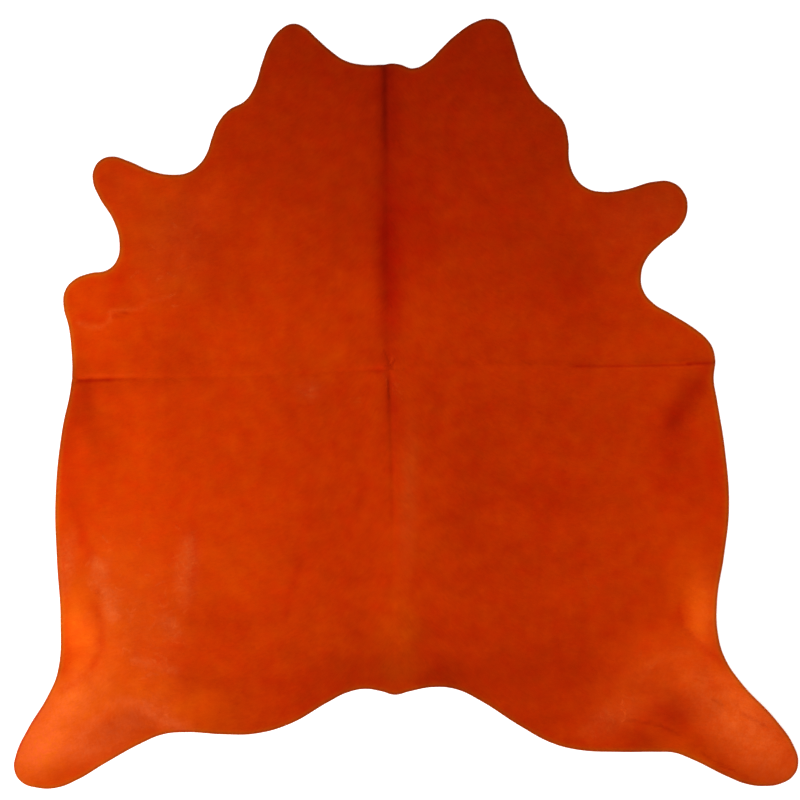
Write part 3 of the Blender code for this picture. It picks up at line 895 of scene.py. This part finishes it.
def hair_colour(n, place):
    """(colour, fine streaks): the dye and its painted light and shade, mottles, streaks along the hair and
    ragged tufts brushed up.
    """
    across, along = n.attribute("across"), n.attribute("along")

    def streaks(row):
        where = n.vector(n.math("DIVIDE", across, row.width), n.math("DIVIDE", along, row.length), row.seed)
        return n.noise(where, rough=STREAK_ROUGH)

    def mottles(row):
        return n.noise(n.moved(place, row.shift), row.scale, row.detail, row.rough)

    def centred(field, share):
        return n.math("MULTIPLY", n.math("SUBTRACT", field, 0.5), share)

    fine = streaks(FINE_STREAKS)
    level = n.attribute("tone")
    for field, row in ((fine, FINE_STREAKS), (streaks(WIDE_STREAKS), WIDE_STREAKS), (mottles(SOFT), SOFT)):
        level = n.math("ADD", level, centred(field, row.share))
    tufts = n.math("MULTIPLY", streaks(TUFT_STREAKS), TUFT_STREAKS.share)
    ragged = n.math("ADD", tufts, n.math("MULTIPLY", mottles(CLUMPS), CLUMPS.share))
    ragged = n.math("MULTIPLY", n.math("SUBTRACT", ragged, RAGGED_FROM), RAGGED_STEEPNESS, clamp=True)
    ragged = n.math("ADD", n.math("MULTIPLY", ragged, RAGGED_SHARE), RAGGED_LEAST)
    brushed = n.math("MULTIPLY", n.attribute("pale"), ragged)
    warm = n.math("ADD", n.attribute("warm"), centred(mottles(HUES), HUES.share))
    return dyed(n, level, brushed, n.math("MAXIMUM", warm, LEAST_WARM)), fine


def coat_material():
    """The coat under the separate hairs."""
    n = Nodes("dyed_hair", HAIR_SURFACE)
    colour, fine = hair_colour(n, n.place())
    n.set(n.shader, Base_Color=colour)
    n.bump(fine, COAT_BUMP)
    return n.material


def lock_material():
    """The separate hairs: each has the coat's colour at its middle, a little lighter or darker."""
    n = Nodes("dyed_locks", HAIR_SURFACE)
    n.set(n.shader, Base_Color=hair_colour(n, n.attribute("home", "Vector"))[0])
    return n.material


def leather_material():
    """The flesh side: pale suede, darker where it was cut and the dye soaked in, with the edge's painted
    shade and painted light.
    """
    n = Nodes("suede_side", SUEDE_SURFACE)
    place = n.place()
    nap = n.noise(place, SUEDE_NAP, detail=3.0)
    mottle = n.noise(place, SUEDE_MOTTLE, detail=4.0)
    level = n.math("ADD", n.math("MULTIPLY", mottle, 1.0 - NAP_SHARE), n.math("MULTIPLY", nap, NAP_SHARE))
    soaked = dyed(n, n.attribute("tone"), n.attribute("pale"), n.attribute("warm"))
    n.set(n.shader, Base_Color=mixed(n, n.ramp(level, SUEDE_COLOURS), soaked, n.attribute("cut")))
    n.bump(nap, SUEDE_BUMP)
    return n.material


# The pieces


def add_attributes(mesh, **values):
    for name, value in values.items():
        layer = mesh.attributes.new(name, "FLOAT", "POINT")
        layer.data.foreach_set("value", np.asarray(value, np.float32))


def hair_values(plan, loop):
    """What the hair's material reads at each point."""
    across, along, _ = hair_coordinates(*plan.T)
    level, pale, warm = dye_and_painted_light_at(plan, loop)
    return {"across": across, "along": along, "tone": level, "pale": pale, "warm": warm}


def sheet_points(loop, rings, steps):
    """The inner points of a sheet: rings beside its edge, then rows and columns."""
    beside = [inset(loop, distance) for distance in rings]
    return np.vstack([*beside, inner_points(loop, steps, rings[-1] + RING_CLEARANCE)])


def leather_base(plan):
    """The underside with the small creases, never below the floor."""
    return np.maximum(underside_height(*plan.T) + strokes_at("rise", *plan.T) * MM, 0.0)


def leather_top(plan):
    return leather_base(plan) + LEATHER


def make_leather(loop):
    points = sheet_points(loop, CUT_RINGS, UNDER_STEPS)
    piece, count = closed_sheet("leather", loop, (points, leather_top), (points, leather_base))
    plan = plan_of(piece.data)
    soaked = np.clip(1.0 - rim_gap(plan, loop) / CUT_RINGS[0], 0.0, 1.0)
    level, pale, warm = dye_and_painted_light_at(plan, loop)
    cut = np.where(np.arange(len(plan)) < count, 1.0, soaked)
    # The lighter tone on the leather's edge is painted light against the shade on its sides.
    add_attributes(piece.data, cut=cut, tone=level + CUT_PAINTED_LIGHT, pale=pale, warm=warm + CUT_WARM)
    piece.data.materials.append(leather_material())
    return piece


def coat_top(plan, loop):
    near_rim = np.clip(rim_gap(plan, loop) / RIM_ROUNDING, 0.0, 1.0)
    full = RIM_LEFT + (1.0 - RIM_LEFT) * np.sqrt(1.0 - (1.0 - near_rim) ** 2)
    return leather_top(plan) + COAT * full + clouds(COAT_LUMPS, *plan.T) * near_rim


def make_hair_coat(loop):
    """The coat as one closed sheet on the leather, thin at its rim."""
    top = (sheet_points(loop, RIM_RINGS, TOP_STEPS), lambda plan: coat_top(plan, loop))
    under = inner_points(loop, UNDER_STEPS, EDGE_CLEARANCE)
    piece, count = closed_sheet("hair_coat", loop, top, (under, leather_top))
    add_attributes(piece.data, **hair_values(plan_of(piece.data), loop))
    piece.data.materials.append(coat_material())
    bake_layout(piece.data, count)
    return piece


# Shares of the baked picture: the top, what faces down, and where that begins.
BAKE_TOP, BAKE_UNDER, BAKE_UNDER_AT = 0.8, 0.18, 0.81


def bake_layout(mesh, top_count):
    """Seen from above for the top, and small in a corner of its own for what faces down."""
    layer = mesh.uv_layers.new(name="OFBake")
    at = np.empty(len(mesh.loops), np.int32)
    mesh.loops.foreach_get("vertex_index", at)
    points = plan_of(mesh)
    flat = (points - points.min(axis=0)) / np.ptp(points, axis=0).max()
    corners = at.reshape(-1, 3)
    below = (corners >= top_count).any(axis=1)[:, None, None]
    placed = np.where(below, flat[corners] * BAKE_UNDER + BAKE_UNDER_AT, flat[corners] * BAKE_TOP)
    layer.data.foreach_set("uv", placed.astype(np.float32).ravel())


# The separate hairs: many flat spindles that lie along the coat, root a little sunk and tip a little up.
# Sizes are in millimetres.
Lock = namedtuple("Lock", "name count length width rise tilt tone_spread")
LOCKS = table(
    Lock,
    ("undercoat", 30000, 20, 2.2, 0.10, 0.05, 0.008),
    ("overcoat", 30000, 17, 1.4, 0.09, 0.08, 0.012),
    ("guard_hairs", 26000, 24, 0.9, 0.08, 0.12, 0.018),
)
LOCK_BASE = 0.06 * MM
MOST_BRIDGED = 0.3 * MM
SWAY = math.radians(7)
# How much single hairs differ, and how they bend: the shares of the length before and after the middle,
# and how much more they sway there.
LOCK_LENGTHS, LOCK_WIDTHS, LOCK_TILTS = (0.7, 1.25), (0.7, 1.3), (0.2, 1.0)
ROOT_SHARE, TIP_SHARE, TIP_SWAY = 0.45, 0.55, 1.5
MOST_PALE = 1.2
# The faces of a spindle, through its root, its two sides, its ridge and its tip.
SPINDLE = np.array([[0, 2, 1], [4, 1, 2], [0, 1, 3], [0, 3, 2], [4, 3, 1], [4, 2, 3]])
SPINDLE_POINTS, RIDGE_POINT = 5, 3


def turned(direction, angle):
    cos, sin = np.cos(angle), np.sin(angle)
    return np.column_stack([
        direction[:, 0] * cos - direction[:, 1] * sin,
        direction[:, 0] * sin + direction[:, 1] * cos,
    ])


def hairs(name, loop, path, width, rise, tilt, shade, brushed=0.0):
    """Closed flat spindles as one mesh. path is (root, middle, tip) in plan, with a row for each hair."""
    root, middle, tip = path
    side = left_of(unit(tip - middle)) * (width / 2)[:, None]

    def at(plan, lift):
        return np.column_stack([plan, coat_top(plan, loop) + lift])

    points = np.stack([
        at(root, -LOCK_BASE), at(middle - side, LOCK_BASE), at(middle + side, LOCK_BASE),
        at(middle, LOCK_BASE + rise), at(tip, LOCK_BASE + tilt),
    ], axis=1)
    faces = np.arange(len(root))[:, None, None] * SPINDLE_POINTS + SPINDLE
    piece = new_piece(name, points.reshape(-1, 3), faces.reshape(-1, 3))
    mesh = piece.data
    ends = np.empty(len(mesh.edges) * 2, np.int32)
    mesh.edges.foreach_get("vertices", ends)
    crisp = mesh.attributes.new("sharp_edge", "BOOLEAN", "EDGE")
    crisp.data.foreach_set("value", (ends.reshape(-1, 2) % SPINDLE_POINTS != RIDGE_POINT).all(axis=1))
    values = hair_values(middle, loop)
    values["tone"] = values["tone"] + shade
    values["pale"] = np.minimum(values["pale"] + brushed, MOST_PALE)
    add_attributes(mesh, **{key: np.repeat(value, SPINDLE_POINTS) for key, value in values.items()})
    home = mesh.attributes.new("home", "FLOAT_VECTOR", "POINT")
    places = np.column_stack([middle, np.zeros(len(middle))]).astype(np.float32)
    home.data.foreach_set("vector", np.repeat(places, SPINDLE_POINTS, axis=0).ravel())
    mesh.materials.append(lock_material())
    bake_layout(mesh, len(mesh.vertices))
    return piece


def make_locks(row, loop, draw):
    """One layer of separate hairs, spread evenly over the coat."""
    low, high = loop.min(axis=0), loop.max(axis=0)
    root = draw.uniform(low, high, (row.count * 2, 2))
    sway = draw.normal(0.0, SWAY, len(root))
    length = row.length * MM * draw.uniform(*LOCK_LENGTHS, len(root))
    width = row.width * MM * draw.uniform(*LOCK_WIDTHS, len(root))
    shade = draw.normal(0.0, row.tone_spread, len(root))
    tilt = row.tilt * MM * draw.uniform(*LOCK_TILTS, len(root))
    middle = root + turned(hair_direction(root), sway) * (length * ROOT_SHARE)[:, None]
    tip = middle + turned(hair_direction(middle), sway * TIP_SWAY) * (length * TIP_SHARE)[:, None]
    places = (root, (root + middle) / 2, middle, (middle + tip) / 2, tip)
    floors = [underside_height(*place.T) for place in places]
    bridged = [abs(floors[n] - (floors[n - 1] + floors[n + 1]) / 2) for n in (1, 3)]
    kept = inside(root, loop) & inside(tip, loop) & (np.maximum(*bridged) < MOST_BRIDGED)
    kept &= np.hypot(*(middle - KNOT_CENTRE).T) > KNOT_REACH
    kept &= np.cumsum(kept) <= row.count
    rise = row.rise * MM * (width / (row.width * MM))
    path = [place[kept] for place in (root, middle, tip)]
    return hairs(row.name, loop, path, width[kept], rise[kept], tilt[kept], shade[kept])


# Tufts: hairs that follow a short curve together. width is the tuft's half width in millimetres, tone and
# pale are what it adds to the coat's own, and points are where it passes, from root to tip.
Tuft = namedtuple("Tuft", "place width count tone pale points")
KNOT = table(
    Tuft,
    ("left dark hook", 3.5, 50, -0.015, 0.0, ((-63, 156), (-58, 136), (-51, 120), (-47, 108))),
    ("light strand in the hooks", 2.0, 24, 0.04, 0.0, ((-53, 146), (-48, 130), (-46, 118))),
    ("right dark hook", 2.5, 50, -0.07, 0.0, ((-32, 128), (-31, 117), (-37, 107), (-48, 99))),
    ("light strand in the right hook", 1.6, 30, 0.05, 0.2, ((-40, 131), (-38, 120), (-45, 111))),
    ("dark heart", 7.0, 110, -0.05, 0.0, ((-66, 100), (-50, 99), (-34, 100))),
    ("pink tuft", 6.0, 26, 0.01, 0.25, ((-70, 86), (-64, 78), (-57, 70))),
    ("light strand down the fold", 1.8, 26, 0.05, 0.35, ((-55, 74), (-53, 58), (-55, 40))),
    ("dark parting", 3.5, 70, -0.07, 0.0, ((-49, 68), (-50, 48), (-48, 26), (-46, 8))),
    ("light tuft beside the parting", 8.0, 60, 0.02, 0.2, ((-36, 64), (-30, 54), (-20, 46))),
    ("longest light strand", 2.5, 36, 0.05, 0.3, ((-45, 54), (-34, 34), (-17, 17), (-2, 6))),
    ("upper light strand", 2.2, 26, 0.05, 0.25, ((-29, 44), (-17, 28), (-8, 24))),
    ("flat light strand", 2.0, 22, 0.04, 0.25, ((-28, 36), (-16, 33), (-4, 34))),
    ("warm tuft", 6.0, 30, 0.04, 0.1, ((-26, 78), (-16, 71), (-8, 62))),
    ("left light strand", 2.2, 24, 0.04, 0.25, ((-160, 13), (-140, 16), (-122, 13))),
    ("left light strand, lower", 2.2, 24, 0.04, 0.25, ((-150, 3), (-133, 5), (-117, 0))),
)
KNOT_CENTRE = np.array([-44.0, 95.0]) * MM
KNOT_REACH = 14.0 * MM
KNOT_HAIR = 11.0 * MM
KNOT_WIDTHS = (0.8, 1.4)
KNOT_TONE_SPREAD = 0.02
TUFT_RISE = 0.22 * MM
TUFT_RISES = (0.6, 1.2)
TUFT_TILT = 0.8
# How much of a hair stays within its tuft, and the least share of a tuft in which hairs start.
HAIR_IN_TUFT, LEAST_STARTS = 0.6, 0.2

# Tufts where the hair is brushed up: where they lie and how densely, how many, how long and wide in
# millimetres, and how much they differ.
TUFT_PATCHES = table(
    Patch,
    ("left ribs", -592, -445, 88, 150, 50, 1.0),
    ("left flank, upper", -838, -468, 62, 65, 38, 0.9),
    ("left flank, lower", -803, -556, 85, 78, 48, 0.9),
    ("left thigh", -649, -613, 120, 70, 44, 0.9),
    ("left thigh, lower", -685, -728, -10, 90, 38, 0.7),
    ("left buttock", -657, -857, -20, 90, 48, 0.8),
    ("all the left flank", -720, -560, 95, 340, 190, 0.30),
    ("right thigh", 675, -710, 15, 120, 45, 0.2),
    ("right buttock", 565, -845, 20, 100, 55, 0.4),
    ("right ribs", 485, -500, 100, 60, 28, 0.6),
    ("left of the crossing", -267, 37, 0, 62, 48, 0.6),
    ("left shoulder", -620, 400, 60, 220, 140, 0.12),
    ("right foreleg", 650, 500, 27, 160, 90, 0.15),
)
BRUSHED_TUFTS = 260
BRUSHED_HAIRS = 22
BRUSHED_SPAN = (22.0, 46.0)
BRUSHED_WIDTH = (2.5, 5.5)
BRUSHED_SWING = math.radians(38)
BRUSHED_BEND = math.radians(55)
BRUSHED_STEPS = 6
BRUSHED_HAIR = 15.0 * MM
BRUSHED_HAIR_WIDTHS = (0.9, 1.6)
BRUSHED_LIFT = (0.025, 0.02)
BRUSHED_TONE_SPREAD = 0.012
BRUSHED_PALE = (0.05, 0.42)
# Places drawn for each tuft, because most of them fall where no tuft is.
SPOTS_FOR_EACH = 60


def along_path(points, distance):
    """(places at these distances along a line through the points, the line's length)"""
    steps = np.linalg.norm(np.diff(points, axis=0), axis=1)
    run = np.concatenate([[0.0], np.cumsum(steps)])
    return np.column_stack([np.interp(distance, run, points[:, axis]) for axis in (0, 1)]), run[-1]


def tuft_hairs(points, width, count, hair, draw):
    """(root, middle, tip) of the hairs of one tuft."""
    span = along_path(points, np.zeros(1))[1]
    start = draw.uniform(0.0, max(span - hair * HAIR_IN_TUFT, LEAST_STARTS * span), count)
    beside = draw.normal(0.0, width / 2, (count, 1))
    root, middle, tip = (along_path(points, start + hair * share)[0] for share in (0.0, 0.5, 1.0))
    side = left_of(unit(tip - root))
    spread = draw.normal(0.0, width / 5, (count, 1))
    return root + side * beside, middle + side * (beside + spread), tip + side * (beside + spread * 2)


def joined(paths):
    return [np.vstack([path[end] for path in paths]) for end in range(3)]


def make_knot(loop, draw):
    """The whorl of hair where the two folds cross."""
    counts = [row.count for row in KNOT]
    paths = [
        tuft_hairs(np.array(row.points) * MM, row.width * MM, row.count, KNOT_HAIR, draw)
        for row in KNOT
    ]
    shade = np.repeat([row.tone for row in KNOT], counts) + draw.normal(0.0, KNOT_TONE_SPREAD, sum(counts))
    width = draw.uniform(*KNOT_WIDTHS, sum(counts)) * MM
    rise = draw.uniform(*TUFT_RISES, sum(counts)) * TUFT_RISE
    brushed = np.repeat([row.pale for row in KNOT], counts)
    return hairs("fold_knot", loop, joined(paths), width, rise, rise * TUFT_TILT, shade, brushed)


def make_brushed_tufts(loop, draw):
    """Small curved tufts, where the hair is brushed up and paler."""
    low, high = loop.min(axis=0), loop.max(axis=0)
    spots = draw.uniform(low, high, (BRUSHED_TUFTS * SPOTS_FOR_EACH, 2))
    chance = patches_at(TUFT_PATCHES, *spots.T)
    spots = spots[inside(spots, loop) & (draw.uniform(0.0, 1.0, len(spots)) < chance)][:BRUSHED_TUFTS]
    lie = hair_direction(spots)
    headings = np.arctan2(lie[:, 1], lie[:, 0]) + draw.normal(0.0, BRUSHED_SWING, len(spots))
    paths = []
    for spot, heading in zip(spots, headings):
        span = draw.uniform(*BRUSHED_SPAN) * MM
        turns = heading + draw.normal(0.0, BRUSHED_BEND) * np.linspace(0.0, 1.0, BRUSHED_STEPS)
        steps = np.column_stack([np.cos(turns), np.sin(turns)]) * span / len(turns)
        points = spot + np.vstack([np.zeros(2), np.cumsum(steps, axis=0)])
        if inside(points, loop).all():
            width = draw.uniform(*BRUSHED_WIDTH) * MM
            paths.append(tuft_hairs(points, width, BRUSHED_HAIRS, BRUSHED_HAIR, draw))
    path = joined(paths)
    kept = np.all([inside(place, loop) for place in path], axis=0)
    count = kept.sum()
    lift = np.repeat(draw.normal(*BRUSHED_LIFT, len(paths)), BRUSHED_HAIRS)[kept]
    width = draw.uniform(*BRUSHED_HAIR_WIDTHS, count) * MM
    rise = draw.uniform(*TUFT_RISES, count) * TUFT_RISE
    shade = lift + draw.normal(0.0, BRUSHED_TONE_SPREAD, count)
    brushed = np.repeat(draw.uniform(*BRUSHED_PALE, len(paths)), BRUSHED_HAIRS)[kept]
    path = [place[kept] for place in path]
    return hairs("brushed_tufts", loop, path, width, rise, rise * TUFT_TILT, shade, brushed)


# Hairs that reach over the cut edge: how many, how far in their roots and how far out their tips are, and
# how far the tips droop. Then how they slant and bend, and how much they differ.
RIM_HAIRS = 13000
RIM_ROOT = (4.0 * MM, 9.0 * MM)
RIM_TIP = (-2.5 * MM, 0.9 * MM)
RIM_DROOP = 1.3 * MM
RIM_SLANT = 3.0 * MM
RIM_MIDDLE, RIM_BEND = 0.45, 0.6
RIM_WIDTHS, RIM_RISES = (0.6, 1.2), (0.05, 0.12)
RIM_TONE_SPREAD = 0.02


def make_rim_hairs(edge, loop, draw):
    """The fine fringe of hair all along the cut edge."""
    closed = np.vstack([edge, edge[:1]])
    length = along_path(closed, np.zeros(1))[1]
    station = draw.uniform(0.0, length, RIM_HAIRS)
    slant = draw.normal(0.0, RIM_SLANT, RIM_HAIRS)

    def beside(place, distance):
        spot, ahead = (along_path(closed, np.mod(start, length))[0] for start in (place, place + MM))
        return spot + left_of(unit(ahead - spot)) * distance[:, None]

    far_in = draw.uniform(*RIM_ROOT, RIM_HAIRS)
    far_out = draw.uniform(*RIM_TIP, RIM_HAIRS)
    middle = beside(station + slant * RIM_BEND, (far_in - far_out) * RIM_MIDDLE)
    path = (beside(station, far_in), middle, beside(station + slant, -far_out))
    width = draw.uniform(*RIM_WIDTHS, RIM_HAIRS) * MM
    rise = draw.uniform(*RIM_RISES, RIM_HAIRS) * MM
    shade = draw.normal(0.0, RIM_TONE_SPREAD, RIM_HAIRS)
    return hairs("rim_hairs", loop, path, width, rise, np.full(RIM_HAIRS, -RIM_DROOP), shade)


# Floor, light and camera

PIXEL = 2.75 * MM
PHOTO_PIXELS = 800
HIDE_CENTRE_PIXEL = (406.0, 403.5)
LENS, SENSOR = 85.0, 36.0
# The key light's place, aim, size and power, the sky's strength, and the floor's size and depth.
KEY_PLACE, KEY_AIM = Vector((-4.2, -3.2, 3.6)), Vector((-0.1, -0.1, 0.0))
KEY_SIZE, KEY_POWER = 2.6, 300.0
SKY_STRENGTH = 1.03
FLOOR_SIZE, FLOOR_DROP = 80.0, 0.2 * MM


def make_floor():
    bpy.ops.mesh.primitive_plane_add(size=FLOOR_SIZE, location=(0.0, 0.0, -FLOOR_DROP))
    floor = bpy.context.object
    floor.name = "floor"
    floor.data.materials.append(Nodes("floor_white", FLOOR_SURFACE).material)


def make_studio():
    scene = bpy.context.scene
    scene.view_settings.view_transform = "Standard"
    scene.world = bpy.data.worlds.new("studio")
    scene.world.use_nodes = True
    sky = scene.world.node_tree.nodes["Background"].inputs
    sky["Color"].default_value = (1.0, 1.0, 1.0, 1.0)
    sky["Strength"].default_value = SKY_STRENGTH
    light = bpy.data.lights.new("key", "AREA")
    light.size = KEY_SIZE
    light.energy = KEY_POWER
    lamp = new_object("key", light)
    lamp.location = KEY_PLACE
    lamp.rotation_euler = (KEY_AIM - KEY_PLACE).to_track_quat("-Z", "Y").to_euler()


def make_camera():
    """Straight above, framed as the photograph is."""
    middle = PHOTO_PIXELS / 2
    x = (middle - HIDE_CENTRE_PIXEL[0]) * PIXEL
    y = (HIDE_CENTRE_PIXEL[1] - middle) * PIXEL
    camera = bpy.data.cameras.new("camera")
    camera.lens = LENS
    camera.sensor_width = SENSOR
    eye = new_object("camera", camera)
    eye.location = (x, y, PHOTO_PIXELS * PIXEL * LENS / SENSOR)
    bpy.context.scene.camera = eye


def main():
    make_camera()
    make_studio()
    make_floor()
    edge = outline_points(CURVE_STEPS)
    hair_line = inset(edge, HAIR_SETBACK)
    draw = np.random.default_rng(SEED)
    leather = make_leather(edge)
    coat = make_hair_coat(hair_line)
    layers = [make_locks(row, hair_line, draw) for row in LOCKS]
    layers += [make_knot(hair_line, draw), make_brushed_tufts(hair_line, draw)]
    layers.append(make_rim_hairs(edge, hair_line, draw))
    for piece in (leather, coat, *layers):
        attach(piece, "root")
    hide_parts("hide")


main()
